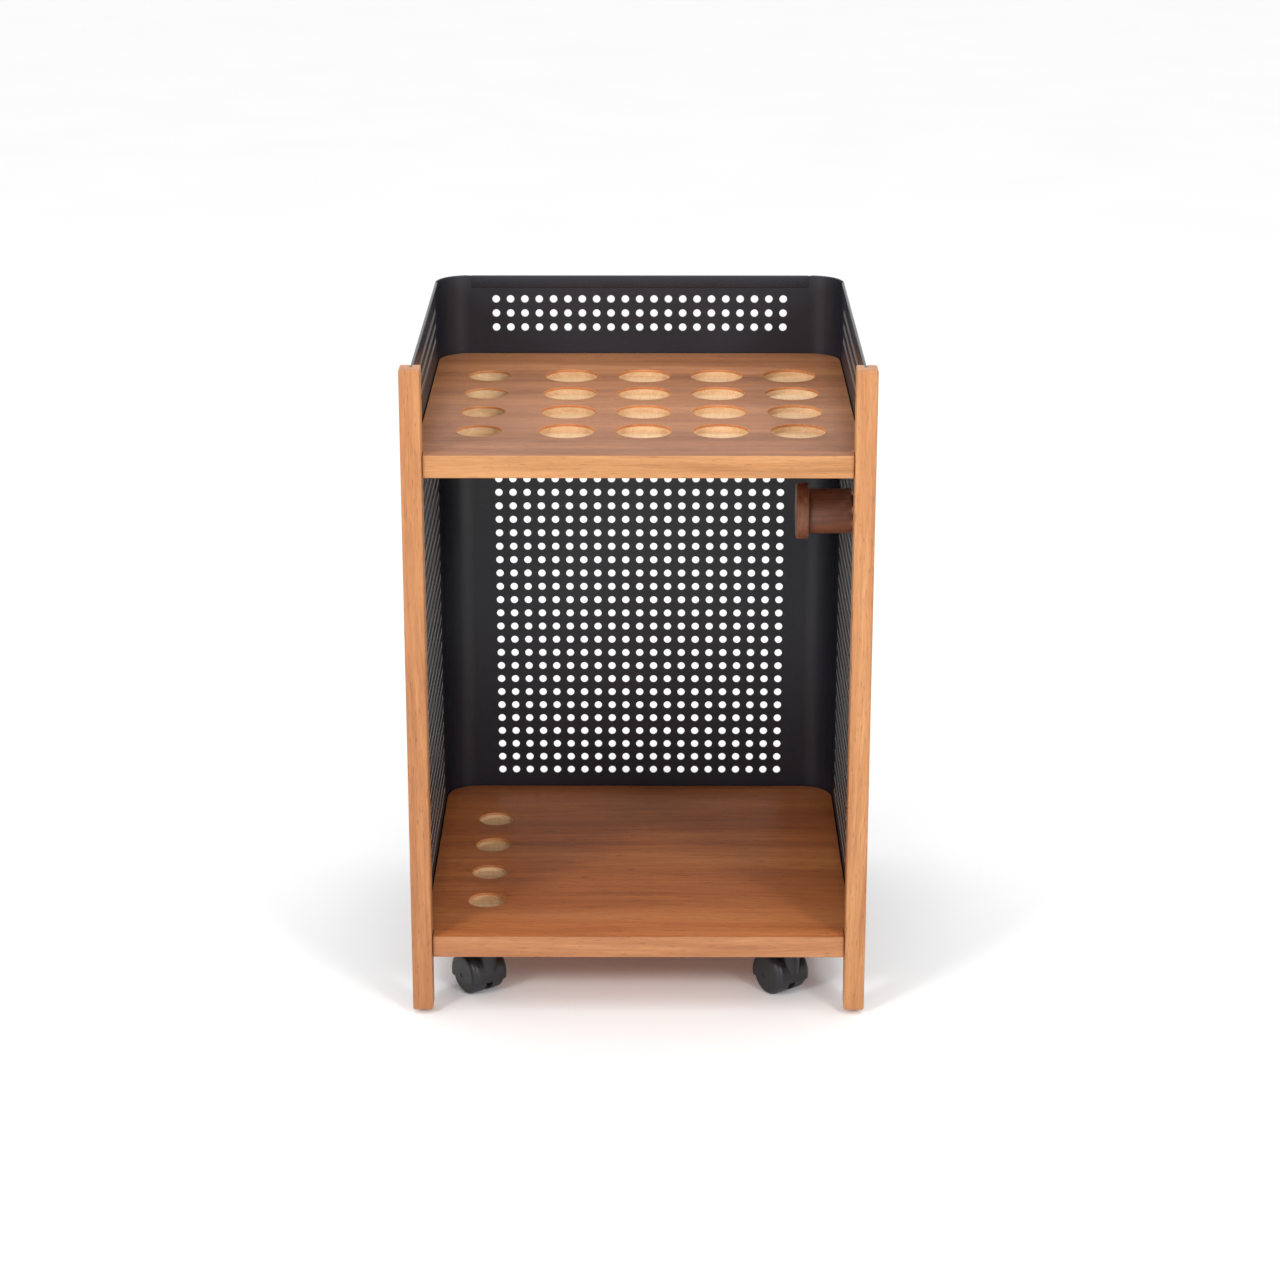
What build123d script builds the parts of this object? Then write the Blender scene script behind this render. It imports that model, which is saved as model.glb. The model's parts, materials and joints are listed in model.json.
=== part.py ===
from build123d import *
import os
from math import cos, radians, sin

# Wheeled pegboard stand: a perforated steel shell bent into a U and closed at the front by two
# wood posts, a drilled top shelf, a bottom shelf, a wood hanging peg and four twin-wheel casters.
# Millimetres; the origin is on the floor under the middle; +X right, +Y back, +Z up.

# Overall
width = 450
depth = 428
height = 660
front_y = -depth / 2
back_y = depth / 2

# Perforated steel shell
sheet = 1.5
shell_half_width = 215
corner_radius = 35
shell_bottom_z = 40
hem_height = 13
fold_rounding = 1.2
hole_diameter = 8
hole_pitch = 15.25
hole_columns = 21
top_hole_rows = 3
solid_rows = 4
lower_hole_rows = 29
first_row_drop = 25.5
side_grid_y = -5

# Front posts
post_width = 20
post_depth = 24
post_bottom_z = 5
post_easing = 1.5
groove_depth = 9

# Shelves
shelf_thickness = 22
shelf_inset = 5
shelf_gap = 1
notch_gap = 0.5
shelf_easing = 1
top_shelf_z = 576
bottom_shelf_z = 82

# Seats in the shelves: one line of four for cues, and four lines of four for balls
seat_pitch = 75
seats_y = -3
cue_x = -155
balls_x = 42.5
ball_seat_radius = 27
ball_seat_depth = 7
cue_hole_radius = 22
cue_cup_radius = 18.5
cue_cup_depth = 6

# Angle brackets spot-welded inside the shell, under each shelf
bracket_leg = 20
bracket_sheet = 2
bracket_length = 330
bracket_y = -15
bracket_screw_pitch = 130

# Screws
wood_screw_radius = 2
wood_screw_length = 14
post_screw_radius = 1.75
post_screw_length = 14
post_screw_z = (100, 318, 540, 630)
screw_head_radius = 3.8
screw_head_height = 2
recess_length = 4.4
recess_width = 0.9
recess_depth = 1

# Hanging peg on the right side of the shell, in the middle of four perforations
peg_y = side_grid_y - 2.5 * hole_pitch
peg_z = height - first_row_drop - 10.5 * hole_pitch
barrel_radius = 22.5
barrel_length = 43.5
flange_radius = 28
flange_thickness = 12.5
peg_easing = 1
tenon_radius = 8
tenon_length = 8
insert_radius = 5
insert_length = 15
bolt_radius = 3
bolt_length = 34
bolt_head_radius = 5.5
bolt_head_height = 4
bolt_socket = 4
bolt_socket_depth = 2
washer_radius = 9
washer_thickness = 1.5

# Casters
caster_x = 153
caster_front_y = -164
caster_rear_y = 161
caster_yaw = 37
caster_trail = 15
wheel_radius = 21
wheel_width = 15
wheel_rim = 3.5
wheel_disc = 2.5
wheel_hub_radius = 6
wheel_rounding = 4.5
side_gap = 0.4
rim_gap = 1
running_gap = 0.05
web = 7
hood_wall = 1.6
hood_rounding = 7
hood_skirt_z = 15.5
boss_radius = 9.5
boss_bottom_z = 24
boss_top_z = 55.5
kingpin_radius = 4
kingpin_bottom_z = 42
kingpin_end_gap = 0.5
collar_radius = 8
collar_height = 1.2
axle_radius = 3
axle_inset = 0.5
plate_side = 38
plate_corner = 5
plate_thickness = 2.5
plate_screw_pitch = 28

# Worked out from the sizes above
panel_height = height - shell_bottom_z
panel_middle_z = (height + shell_bottom_z) / 2
inner_half_width = shell_half_width - sheet
inner_back_y = back_y - sheet
post_x = (width - post_width) / 2
post_back_y = front_y + post_depth
side_front_y = post_back_y - groove_depth
bend_x = shell_half_width - corner_radius
bend_y = back_y - corner_radius
side_length = bend_y - side_front_y
side_middle_y = (bend_y + side_front_y) / 2
top_field_z = height - first_row_drop - (top_hole_rows - 1) / 2 * hole_pitch
rows_above_lower_field = top_hole_rows + solid_rows + (lower_hole_rows - 1) / 2
lower_field_z = height - first_row_drop - rows_above_lower_field * hole_pitch
bracket_screw_inset = bracket_leg / 2
post_screw_y = post_back_y - groove_depth / 2
wheel_start = web / 2 + side_gap
wheel_end = wheel_start + wheel_width
pocket_end = wheel_end + side_gap
pocket_radius = wheel_radius + rim_gap
hood_half_width = pocket_end + hood_wall
hood_radius = pocket_radius + hood_wall
caster_top_z = bottom_shelf_z - shelf_thickness
plate_z = caster_top_z - plate_thickness

os.makedirs("parts", exist_ok=True)


def save(part, name):
    part.label = name
    export_step(part, f"parts/{name}.step")


def perforated_run(plane, length, grid_x, drilled=()):
    """A flat run of the shell below its fold, from its outer face inwards; the plane's local y is up."""
    with BuildPart() as run:
        with BuildSketch(plane):
            with Locations((0, -hem_height / 2)):
                Rectangle(length, panel_height - hem_height)
            with Locations((grid_x, top_field_z - panel_middle_z)):
                with GridLocations(hole_pitch, hole_pitch, hole_columns, top_hole_rows):
                    Circle(hole_diameter / 2, mode=Mode.SUBTRACT)
            with Locations((grid_x, lower_field_z - panel_middle_z)):
                with GridLocations(hole_pitch, hole_pitch, hole_columns, lower_hole_rows):
                    Circle(hole_diameter / 2, mode=Mode.SUBTRACT)
            for x, z, radius in drilled:
                with Locations((x, z - panel_middle_z)):
                    Circle(radius, mode=Mode.SUBTRACT)
        extrude(amount=sheet)
    return run


def folded_edge(plane, length):
    """The top edge of a flat run, folded over towards the inside, so it is two sheets thick."""
    end = Plane(plane.origin - plane.x_dir * length / 2, x_dir=plane.z_dir, z_dir=plane.x_dir)
    with BuildPart() as fold:
        with BuildSketch(end) as section:
            with Locations((0, -(panel_height / 2 - hem_height))):
                Rectangle(2 * sheet, hem_height, align=(Align.MIN, Align.MAX))
            fillet(section.vertices().group_by(Axis.Y)[0], fold_rounding)
        extrude(amount=length)
    return fold


def bent_corner(start_angle, side):
    """The rounded corner that joins a side of the shell to its back."""
    with BuildPart() as corner:
        with BuildSketch(Plane.XY.offset(shell_bottom_z)):
            with BuildLine():
                outer = CenterArc((side * bend_x, bend_y), corner_radius, start_angle, 90)
                inner = CenterArc((side * bend_x, bend_y), corner_radius - sheet, start_angle, 90)
                Line(outer @ 0, inner @ 0)
                Line(outer @ 1, inner @ 1)
            make_face()
        extrude(amount=panel_height)
    return corner


def front_post(side):
    """A wood post with a groove down its back face that takes the shell's front edge."""
    inner_face = Plane((side * (post_x - post_width / 2), 0, 0), x_dir=(0, 1, 0), z_dir=(side, 0, 0))
    with BuildPart() as post:
        with BuildSketch(Plane.XY.offset(post_bottom_z)):
            with Locations((side * post_x, front_y + post_depth / 2)):
                Rectangle(post_width, post_depth)
        extrude(amount=height - post_bottom_z)
        fillet(post.edges(), post_easing)
        with BuildSketch(Plane.XY.offset(shell_bottom_z)):
            with Locations((side * (shell_half_width - sheet / 2), post_back_y - groove_depth / 2)):
                Rectangle(sheet, groove_depth)
        extrude(amount=panel_height, mode=Mode.SUBTRACT)
        # The groove is wider at the top, for the fold.
        with BuildSketch(Plane.XY.offset(height - hem_height)):
            with Locations((side * (inner_half_width - sheet / 2), post_back_y - groove_depth / 2)):
                Rectangle(sheet, groove_depth)
        extrude(amount=hem_height, mode=Mode.SUBTRACT)
        # Each screw head is sunk level with the inner face.
        for radius, hole_depth in (
            (screw_head_radius, screw_head_height),
            (post_screw_radius, screw_head_height + post_screw_length),
        ):
            with BuildSketch(inner_face):
                with Locations(*[(post_screw_y, side * z) for z in post_screw_z]):
                    Circle(radius)
            extrude(amount=hole_depth, mode=Mode.SUBTRACT)
    return post


def shelf(top_z, screw_holes):
    """A board that fills the shell, notched round the posts, with screw holes from below."""
    half_width = inner_half_width - shelf_gap
    shelf_front_y = front_y + shelf_inset
    shelf_back_y = inner_back_y - shelf_gap
    notch_x = post_x - post_width / 2 - notch_gap
    notch_y = post_back_y + notch_gap
    rear_radius = corner_radius - sheet - shelf_gap
    with BuildPart() as board:
        with BuildSketch(Plane.XY.offset(top_z - shelf_thickness)):
            with BuildLine():
                Polyline(
                    (notch_x, shelf_front_y),
                    (notch_x, notch_y),
                    (half_width, notch_y),
                    (half_width, shelf_back_y),
                    (-half_width, shelf_back_y),
                    (-half_width, notch_y),
                    (-notch_x, notch_y),
                    (-notch_x, shelf_front_y),
                    close=True,
                )
            outline = make_face()
            fillet(outline.vertices().group_by(Axis.Y)[-1], rear_radius)
        extrude(amount=shelf_thickness)
        fillet(board.edges().filter_by(Axis.X).group_by(Axis.Y)[0], shelf_easing)
        for points, radius, screw_depth in screw_holes:
            with BuildSketch(Plane.XY.offset(top_z - shelf_thickness)):
                with Locations(*points):
                    Circle(radius)
            extrude(amount=screw_depth, mode=Mode.SUBTRACT)
    return board


def angle_bracket(plane, screw_points):
    """A steel angle against the shell's inner face, with its flat leg level with the plane's top."""
    with BuildPart() as bracket:
        with BuildSketch(plane):
            with Locations((0, -bracket_leg / 2)):
                Rectangle(bracket_length, bracket_leg)
        extrude(amount=bracket_sheet)
        with BuildSketch(plane):
            with Locations((0, -bracket_sheet / 2)):
                Rectangle(bracket_length, bracket_sheet)
        extrude(amount=bracket_leg)
        with BuildSketch(Plane.XY.offset(plane.origin.Z)):
            with Locations(*screw_points):
                Circle(wood_screw_radius)
        extrude(amount=-bracket_sheet, mode=Mode.SUBTRACT)
    return bracket


def pan_screws(planes, shank_radius, shank_length):
    """Separate pan-head screws: each head is behind its plane and each shank in front of it."""
    with BuildPart() as screws:
        with BuildSketch(*planes):
            Circle(shank_radius)
        extrude(amount=shank_length)
        with BuildSketch(*planes):
            Circle(screw_head_radius)
        extrude(amount=-screw_head_height)
        rims = screws.edges().filter_by(GeomType.CIRCLE)
        outer_rims = [
            rim
            for plane in planes
            for rim in rims
            if abs(plane.to_local_coords(rim.arc_center).Z + screw_head_height) < 0.001
            and (rim.arc_center - plane.origin).length < 2 * screw_head_height
        ]
        fillet(outer_rims, screw_head_height / 2)
        with BuildSketch(*[plane.offset(-screw_head_height) for plane in planes]):
            Rectangle(recess_length, recess_width)
            Rectangle(recess_width, recess_length)
        extrude(amount=recess_depth, mode=Mode.SUBTRACT)
    return screws


# Shell: the flat runs, their folded top edges and the two bends, all of one sheet

post_holes = [(side_middle_y - post_screw_y, z, post_screw_radius) for z in post_screw_z]
back_plane = Plane((0, back_y, panel_middle_z), x_dir=(1, 0, 0), z_dir=(0, -1, 0))
left_plane = Plane((-shell_half_width, side_middle_y, panel_middle_z), x_dir=(0, 1, 0), z_dir=(1, 0, 0))
right_plane = Plane((shell_half_width, side_middle_y, panel_middle_z), x_dir=(0, -1, 0), z_dir=(-1, 0, 0))
left_holes = [(-x, z, radius) for x, z, radius in post_holes]
right_holes = post_holes + [(side_middle_y - peg_y, peg_z, bolt_radius)]
side_shift = side_grid_y - side_middle_y
save(perforated_run(back_plane, 2 * bend_x, 0).part, "back_panel")
save(perforated_run(left_plane, side_length, side_shift, left_holes).part, "left_panel")
save(perforated_run(right_plane, side_length, -side_shift, right_holes).part, "right_panel")
save(folded_edge(back_plane, 2 * bend_x).part, "back_fold")
save(folded_edge(left_plane, side_length).part, "left_fold")
save(folded_edge(right_plane, side_length).part, "right_fold")
save(bent_corner(90, -1).part, "left_corner")
save(bent_corner(0, 1).part, "right_corner")

# Posts and the screws that hold the shell's edges in their grooves

save(front_post(-1).part, "left_post")
save(front_post(1).part, "right_post")
post_seat_x = post_x - post_width / 2 + screw_head_height
post_screw_planes = [
    Plane((side * post_seat_x, post_screw_y, z), x_dir=(0, 1, 0), z_dir=(side, 0, 0))
    for side in (-1, 1)
    for z in post_screw_z
]
save(pan_screws(post_screw_planes, post_screw_radius, post_screw_length).part, "post_screws")

# Shelves, their brackets and bracket screws

side_screw_x = inner_half_width - bracket_screw_inset
side_screw_steps = (-bracket_screw_pitch, 0, bracket_screw_pitch)
left_screws = [(-side_screw_x, bracket_y + step) for step in side_screw_steps]
right_screws = [(side_screw_x, bracket_y + step) for step in side_screw_steps]
back_screws = [(step, inner_back_y - bracket_screw_inset) for step in side_screw_steps]
bracket_screws = left_screws + right_screws + back_screws

caster_places = {
    "front_left": (-caster_x, caster_front_y),
    "front_right": (caster_x, caster_front_y),
    "rear_left": (-caster_x, caster_rear_y),
    "rear_right": (caster_x, caster_rear_y),
}
plate_half = plate_screw_pitch / 2
plate_corners = [(dx, dy) for dy in (-plate_half, plate_half) for dx in (-plate_half, plate_half)]
caster_screws = [(x + dx, y + dy) for x, y in caster_places.values() for dx, dy in plate_corners]

bracket_holes = (bracket_screws, wood_screw_radius, wood_screw_length - bracket_sheet)
caster_holes = (caster_screws, wood_screw_radius, wood_screw_length - plate_thickness)

with BuildPart() as top_shelf:
    add(shelf(top_shelf_z, [bracket_holes]).part)
    with Locations((balls_x, seats_y, top_shelf_z)):
        with GridLocations(seat_pitch, seat_pitch, 4, 4):
            Hole(ball_seat_radius, ball_seat_depth)
    with Locations((cue_x, seats_y, top_shelf_z)):
        with GridLocations(seat_pitch, seat_pitch, 1, 4):
            Hole(cue_hole_radius, shelf_thickness)
save(top_shelf.part, "top_shelf")

with BuildPart() as bottom_shelf:
    add(shelf(bottom_shelf_z, [bracket_holes, caster_holes]).part)
    with Locations((cue_x, seats_y, bottom_shelf_z)):
        with GridLocations(seat_pitch, seat_pitch, 1, 4):
            Hole(cue_cup_radius, cue_cup_depth)
save(bottom_shelf.part, "bottom_shelf")

for shelf_name, shelf_z in (("top", top_shelf_z), ("bottom", bottom_shelf_z)):
    z = shelf_z - shelf_thickness
    left = Plane((-inner_half_width, bracket_y, z), x_dir=(0, 1, 0), z_dir=(1, 0, 0))
    right = Plane((inner_half_width, bracket_y, z), x_dir=(0, -1, 0), z_dir=(-1, 0, 0))
    back = Plane((0, inner_back_y, z), x_dir=(1, 0, 0), z_dir=(0, -1, 0))
    save(angle_bracket(left, left_screws).part, f"{shelf_name}_bracket_left")
    save(angle_bracket(right, right_screws).part, f"{shelf_name}_bracket_right")
    save(angle_bracket(back, back_screws).part, f"{shelf_name}_bracket_back")
    screw_planes = [Plane((x, y, z - bracket_sheet)) for x, y in bracket_screws]
    save(pan_screws(screw_planes, wood_screw_radius, wood_screw_length).part, f"{shelf_name}_bracket_screws")

# Hanging peg: turned barrel and flange, bolted through the shell into a threaded insert

peg_face = Plane((inner_half_width, peg_y, peg_z), x_dir=(0, 1, 0), z_dir=(-1, 0, 0))
outer_face = Plane((shell_half_width, peg_y, peg_z), x_dir=(0, 1, 0), z_dir=(1, 0, 0))
bolt_reach = bolt_length - washer_thickness - sheet

with BuildPart() as peg_barrel:
    with BuildSketch(peg_face):
        Circle(barrel_radius)
    extrude(amount=barrel_length)
    chamfer(peg_barrel.edges(), peg_easing)
    with BuildSketch(peg_face.offset(barrel_length)):
        Circle(tenon_radius)
    extrude(amount=tenon_length)
    with BuildSketch(peg_face):
        Circle(insert_radius)
    extrude(amount=insert_length, mode=Mode.SUBTRACT)
    with BuildSketch(peg_face):
        Circle(bolt_radius)
    extrude(amount=bolt_reach, mode=Mode.SUBTRACT)
save(peg_barrel.part, "peg_barrel")

with BuildPart() as peg_flange:
    with BuildSketch(peg_face.offset(barrel_length)):
        Circle(flange_radius)
    extrude(amount=flange_thickness)
    fillet(peg_flange.edges(), peg_easing)
    with BuildSketch(peg_face.offset(barrel_length)):
        Circle(tenon_radius)
    extrude(amount=tenon_length, mode=Mode.SUBTRACT)
save(peg_flange.part, "peg_flange")

with BuildPart() as peg_insert:
    with BuildSketch(peg_face):
        Circle(insert_radius)
        Circle(bolt_radius, mode=Mode.SUBTRACT)
    extrude(amount=insert_length)
save(peg_insert.part, "peg_insert")

with BuildPart() as peg_washer:
    with BuildSketch(outer_face):
        Circle(washer_radius)
        Circle(bolt_radius, mode=Mode.SUBTRACT)
    extrude(amount=washer_thickness)
save(peg_washer.part, "peg_washer")

with BuildPart() as peg_bolt:
    with BuildSketch(outer_face.offset(washer_thickness)):
        Circle(bolt_head_radius)
    extrude(amount=bolt_head_height)
    fillet(peg_bolt.edges().sort_by(Axis.X)[-1], bolt_head_height / 2)
    with BuildSketch(outer_face.offset(washer_thickness + bolt_head_height)):
        RegularPolygon(bolt_socket / 2, 6, major_radius=False)
    extrude(amount=-bolt_socket_depth, mode=Mode.SUBTRACT)
    with BuildSketch(outer_face.offset(washer_thickness)):
        Circle(bolt_radius)
    extrude(amount=-bolt_length)
save(peg_bolt.part, "peg_bolt")

# Casters

screw_planes = [Plane((x, y, plate_z)) for x, y in caster_screws]
save(pan_screws(screw_planes, wood_screw_radius, wood_screw_length).part, "caster_screws")

axle_dir = Vector(cos(radians(caster_yaw)), sin(radians(caster_yaw)), 0)
trail_dir = Vector(-axle_dir.Y, axle_dir.X, 0)


def caster_plate(x, y):
    """The square steel plate under the bottom shelf."""
    with BuildPart() as plate:
        with BuildSketch(Plane((x, y, plate_z))):
            RectangleRounded(plate_side, plate_side, plate_corner)
            with GridLocations(plate_screw_pitch, plate_screw_pitch, 2, 2):
                Circle(wood_screw_radius, mode=Mode.SUBTRACT)
        extrude(amount=plate_thickness)
    return plate


def caster_kingpin(x, y):
    """The steel pin, riveted to the plate, that the hood swivels on."""
    with BuildPart() as kingpin:
        with BuildSketch(Plane((x, y, kingpin_bottom_z))):
            Circle(kingpin_radius)
        extrude(amount=plate_z - kingpin_bottom_z)
        with BuildSketch(Plane((x, y, plate_z))):
            Circle(collar_radius)
        extrude(amount=-collar_height)
    return kingpin


def wheel_pocket(axle_plane, side):
    """The space inside the hood that one wheel turns in."""
    with BuildPart() as pocket:
        with BuildSketch(axle_plane.offset(side * web / 2)):
            Circle(pocket_radius)
        extrude(amount=side * (pocket_end - web / 2))
        outer_edge = pocket.edges().sort_by(Axis(axle_plane.origin, axle_plane.z_dir * side))[-1]
        fillet(outer_edge, wheel_rounding + side_gap)
    return pocket


def caster_hood(x, y, axle_plane):
    """The plastic body: a hood over both wheels, a web between them and a boss for the kingpin."""
    with BuildPart() as hood:
        with BuildSketch(axle_plane.offset(-hood_half_width)):
            Circle(hood_radius)
        extrude(amount=2 * hood_half_width)
        fillet(hood.edges().filter_by(GeomType.CIRCLE), hood_rounding)
        with BuildSketch(Plane((x, y, boss_bottom_z))):
            Circle(boss_radius)
        extrude(amount=boss_top_z - boss_bottom_z)
        for side in (-1, 1):
            add(wheel_pocket(axle_plane, side).part, mode=Mode.SUBTRACT)
        with BuildSketch(Plane((x, y, hood_skirt_z))):
            Circle(2 * (hood_radius + caster_trail))
        extrude(amount=-2 * hood_radius, mode=Mode.SUBTRACT)
        with BuildSketch(axle_plane.offset(-hood_half_width)):
            Circle(axle_radius)
        extrude(amount=2 * hood_half_width, mode=Mode.SUBTRACT)
        with BuildSketch(Plane((x, y, boss_top_z))):
            Circle(kingpin_radius + running_gap)
        extrude(amount=-(boss_top_z - kingpin_bottom_z + kingpin_end_gap), mode=Mode.SUBTRACT)
    return hood


def caster_axle(axle_plane):
    """The steel axle, pressed into the hood's side walls and web."""
    half_length = hood_half_width - axle_inset
    with BuildPart() as axle:
        with BuildSketch(axle_plane.offset(-half_length)):
            Circle(axle_radius)
        extrude(amount=2 * half_length)
    return axle


def caster_wheel(axle_plane, side):
    """A plastic wheel: rim, outer disc and hub, hollow towards the web."""
    bore = axle_radius + running_gap
    across = Plane(axle_plane.origin, x_dir=axle_plane.z_dir * side, z_dir=axle_plane.x_dir * -side)
    with BuildPart() as wheel:
        with BuildSketch(across) as half_section:
            with Locations((wheel_start, wheel_radius)):
                Rectangle(wheel_width, wheel_rim, align=(Align.MIN, Align.MAX))
            with Locations((wheel_end, bore)):
                Rectangle(wheel_disc, wheel_radius - bore, align=(Align.MAX, Align.MIN))
            with Locations((wheel_start, bore)):
                Rectangle(wheel_width, wheel_hub_radius - bore, align=(Align.MIN, Align.MIN))
            tread_corner = half_section.vertices().group_by(Axis.Y)[-1].sort_by(Axis.X)[-1]
            fillet(tread_corner, wheel_rounding)
        revolve(axis=Axis(axle_plane.origin, axle_plane.z_dir))
    return wheel


for name, (x, y) in caster_places.items():
    axle_centre = Vector(x, y, wheel_radius) + trail_dir * caster_trail
    axle_plane = Plane(axle_centre, x_dir=trail_dir, z_dir=axle_dir)
    save(caster_plate(x, y).part, f"{name}_plate")
    save(caster_kingpin(x, y).part, f"{name}_kingpin")
    save(caster_hood(x, y, axle_plane).part, f"{name}_hood")
    save(caster_axle(axle_plane).part, f"{name}_axle")
    save(caster_wheel(axle_plane, -1).part, f"{name}_wheel_left")
    save(caster_wheel(axle_plane, 1).part, f"{name}_wheel_right")
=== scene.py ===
import json
import math

import bmesh
import bpy
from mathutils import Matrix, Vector
from mathutils.geometry import delaunay_2d_cdt


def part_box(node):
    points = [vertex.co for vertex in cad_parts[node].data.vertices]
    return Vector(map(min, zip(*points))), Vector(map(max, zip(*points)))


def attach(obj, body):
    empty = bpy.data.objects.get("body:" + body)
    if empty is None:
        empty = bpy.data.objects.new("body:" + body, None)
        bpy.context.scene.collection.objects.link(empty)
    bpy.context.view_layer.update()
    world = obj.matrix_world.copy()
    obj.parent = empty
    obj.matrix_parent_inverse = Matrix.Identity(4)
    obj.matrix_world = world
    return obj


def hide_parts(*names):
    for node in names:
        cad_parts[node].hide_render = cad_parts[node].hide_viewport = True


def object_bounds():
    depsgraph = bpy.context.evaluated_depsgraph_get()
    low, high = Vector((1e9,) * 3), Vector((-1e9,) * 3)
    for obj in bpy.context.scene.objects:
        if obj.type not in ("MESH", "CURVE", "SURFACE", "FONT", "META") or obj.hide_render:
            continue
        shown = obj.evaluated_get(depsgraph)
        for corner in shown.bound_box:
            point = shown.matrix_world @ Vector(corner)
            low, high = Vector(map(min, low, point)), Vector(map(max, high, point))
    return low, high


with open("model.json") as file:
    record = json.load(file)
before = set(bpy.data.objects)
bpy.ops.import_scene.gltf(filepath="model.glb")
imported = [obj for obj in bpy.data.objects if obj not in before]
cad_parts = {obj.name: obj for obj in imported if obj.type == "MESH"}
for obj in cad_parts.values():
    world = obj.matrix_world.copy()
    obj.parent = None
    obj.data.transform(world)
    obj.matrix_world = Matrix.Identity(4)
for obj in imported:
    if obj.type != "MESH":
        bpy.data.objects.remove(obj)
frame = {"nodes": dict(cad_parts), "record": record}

MM = 0.001
SHARP_ANGLE = 35  # degrees
WELD_DISTANCE = 0.002 * MM
cad_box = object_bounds()
record = frame["record"]
mounts = {mount["name"]: mount for mount in record["mounts"]}
openings = record["physics"]["openings"]

# The perforation grid of the shell
HOLE_COLUMNS = 21
LOWER_ROWS = 29
TOP_ROWS = 3
HOLE_SIDES = 20
HOLE_EASING = 0.25 * MM
HOLE_SEGMENTS_PER_CORNER = HOLE_SIDES // 4
FIRST_ROW_DROP = 25.5 * MM
FOLD_SETBACK = 1.5 * MM
COVERED_RISE = 0.7
BEND_STEPS = 14
RIM_STEPS = 6
FOLD_STEPS = 10
LIP_STEPS = 8
LOWER_RIM_ROUNDING = 0.4

# Easing of wood edges and seats
POST_EASING = 1.6 * MM
SHELF_EASING = 1.1 * MM
SEAT_EASING = 0.4 * MM
BOARD_CORNER = 1.2 * MM
GROOVE_CORNER = 0.2 * MM
BARREL_EASING = 1.2 * MM
FLANGE_EASING = 1.6 * MM
EASING_STEPS = 4
WIDE_CORNER = 5 * MM
WIDE_CORNER_STEPS = 10
SMALL_CORNER_STEPS = 3
CIRCLE_SIDES = 72
STAIN_DEPTH = 2.5 * MM
POST_SIDE_GAP = 0.5 * MM


def mesh_object(name, vertices, faces, materials, face_materials=None, weld=0.0):
    """A new mesh object with its materials, smooth except at sharp edges."""
    mesh = bpy.data.meshes.new(name)
    mesh.from_pydata(vertices, [], faces)
    for material in materials:
        mesh.materials.append(material)
    if face_materials:
        mesh.polygons.foreach_set("material_index", face_materials)
    mesh.update()
    if weld:
        welded = bmesh.new()
        welded.from_mesh(mesh)
        bmesh.ops.remove_doubles(welded, verts=welded.verts, dist=weld)
        welded.to_mesh(mesh)
        welded.free()
    mesh.shade_smooth()
    mesh.set_sharp_from_angle(angle=math.radians(SHARP_ANGLE))
    obj = bpy.data.objects.new(name, mesh)
    bpy.context.scene.collection.objects.link(obj)
    return obj


def place_piece(obj, body, slot, *nodes):
    """Makes a piece ride on a body and stand for CAD nodes; the slot argument is not used."""
    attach(obj, body)
    if nodes:
        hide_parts(*nodes)


# Materials


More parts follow.
